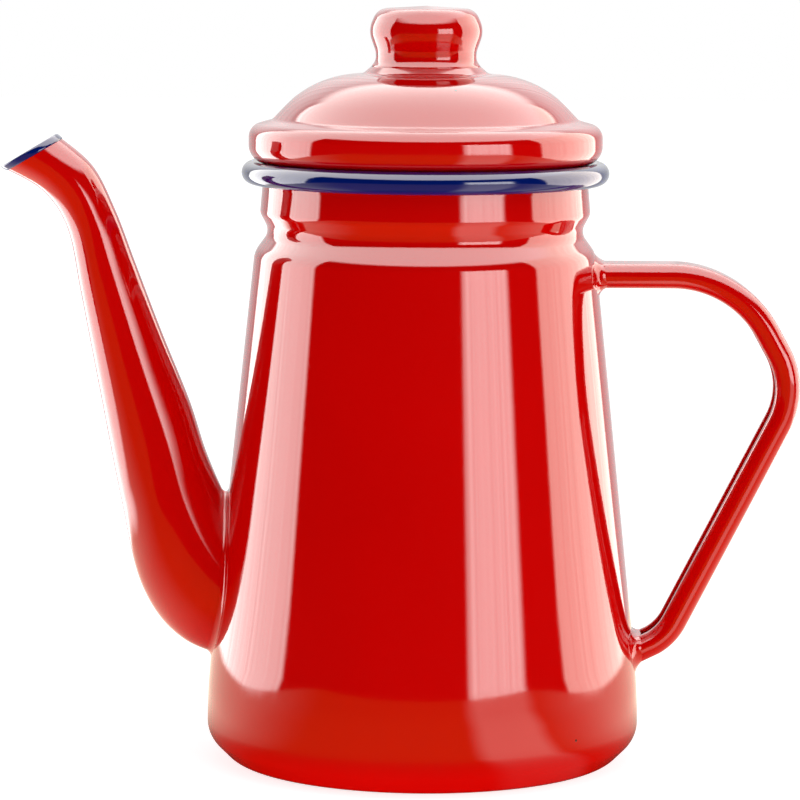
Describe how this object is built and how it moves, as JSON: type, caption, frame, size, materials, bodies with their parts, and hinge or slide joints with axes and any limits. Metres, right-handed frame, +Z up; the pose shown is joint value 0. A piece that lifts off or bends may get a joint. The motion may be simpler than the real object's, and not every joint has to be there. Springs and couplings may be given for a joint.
{
  "type": "enamel coffee pot",
  "caption": "Tapered enamelled steel coffee pot with gooseneck spout, rolled strap handle, coloured rim and lift-off domed lid with knob.",
  "frame": {"origin": "where the pot's axis meets the plane that its foot rests on", "axes": "+Z up along the pot's axis, -X towards the spout, +X towards the handle"},
  "size_m": [0.2211, 0.12, 0.2093],
  "materials": {
    "red_enamel": "glossy fired enamel",
    "blue_enamel": "glossy fired enamel",
    "white_enamel": "glossy fired enamel"
  },
  "bodies": {
    "pot": {"body_wall": "red_enamel", "base_pan": "red_enamel", "rim_roll": "blue_enamel", "spout_left_half": "red_enamel", "spout_right_half": "red_enamel", "spout_lip": "blue_enamel", "spout_root_weld": "red_enamel", "handle_strap": "red_enamel", "handle_top_weld": "red_enamel", "handle_foot_weld": "red_enamel"},
    "lid": {"lid_dome": "red_enamel", "lid_collar": "white_enamel", "lid_knob": "red_enamel"}
  },
  "joints": [
    {"name": "lid_lift", "type": "slide", "parent": "pot", "child": "lid", "axis": [0, 0, 1], "range_m": [0, 0.06]}
  ]
}
